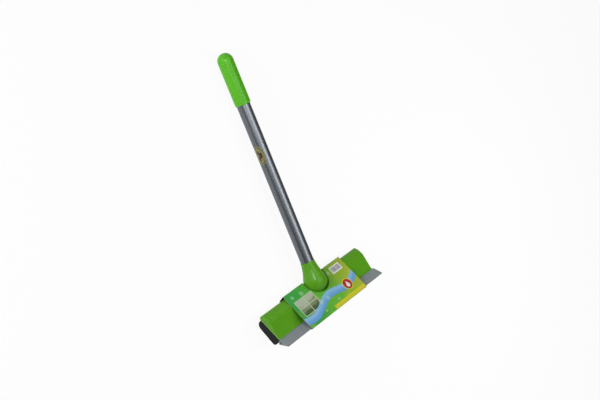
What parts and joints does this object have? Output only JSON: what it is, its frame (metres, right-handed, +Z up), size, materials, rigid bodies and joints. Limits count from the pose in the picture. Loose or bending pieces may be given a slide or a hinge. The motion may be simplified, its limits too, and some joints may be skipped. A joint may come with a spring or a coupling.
{
  "type": "window cleaning squeegee",
  "caption": "Window cleaning squeegee: a wedge rubber blade and a foam pad on a ball-necked plastic head, with a screw-on tubular handle and a printed card sleeve, lying on its back.",
  "frame": {"origin": "on the ground under the middle of the tool's overall length, on the centre line of the handle", "axes": "+Y along the handle from the head to the grip, +X across the head, +Z up from the pad side to the blade side"},
  "size_m": [0.2528, 0.4404, 0.0539],
  "materials": {
    "hood_plastic": "satin",
    "plate_plastic": "matte",
    "screw_steel": "satin",
    "foam": "matte",
    "blade_rubber": "matte",
    "sleeve_card": "satin",
    "ferrule_plastic": "satin",
    "tube_paint": "satin",
    "grip_plastic": "satin"
  },
  "bodies": {
    "head": {"head_hood": "hood_plastic", "pad_plate": "plate_plastic", "plate_screws": "screw_steel", "sponge_pad": "foam", "card_sleeve": "sleeve_card"},
    "blade": {"wiper_blade": "blade_rubber"},
    "ferrule": {"thread_ferrule": "ferrule_plastic"},
    "handle": {"handle_tube": "tube_paint", "hand_grip": "grip_plastic"}
  },
  "joints": [
    {"name": "blade_slide", "type": "slide", "parent": "head", "child": "blade", "axis": [1, 0, 0], "range_m": [-0.24, 0.24]},
    {"name": "handle_rise", "type": "slide", "parent": "head", "child": "ferrule", "axis": [0, 0.9995, -0.0323], "range_m": [0, 0.02]},
    {"name": "handle_turn", "type": "hinge", "parent": "ferrule", "child": "handle", "pos_m": [0, -0.13451, 0.02382], "axis": [0, 0.9995, -0.0323], "range_deg": [0, 1440]}
  ],
  "couplings": [
    {"joint": "handle_turn", "follows": "handle_rise", "rad_per_m": 1256.6}
  ]
}
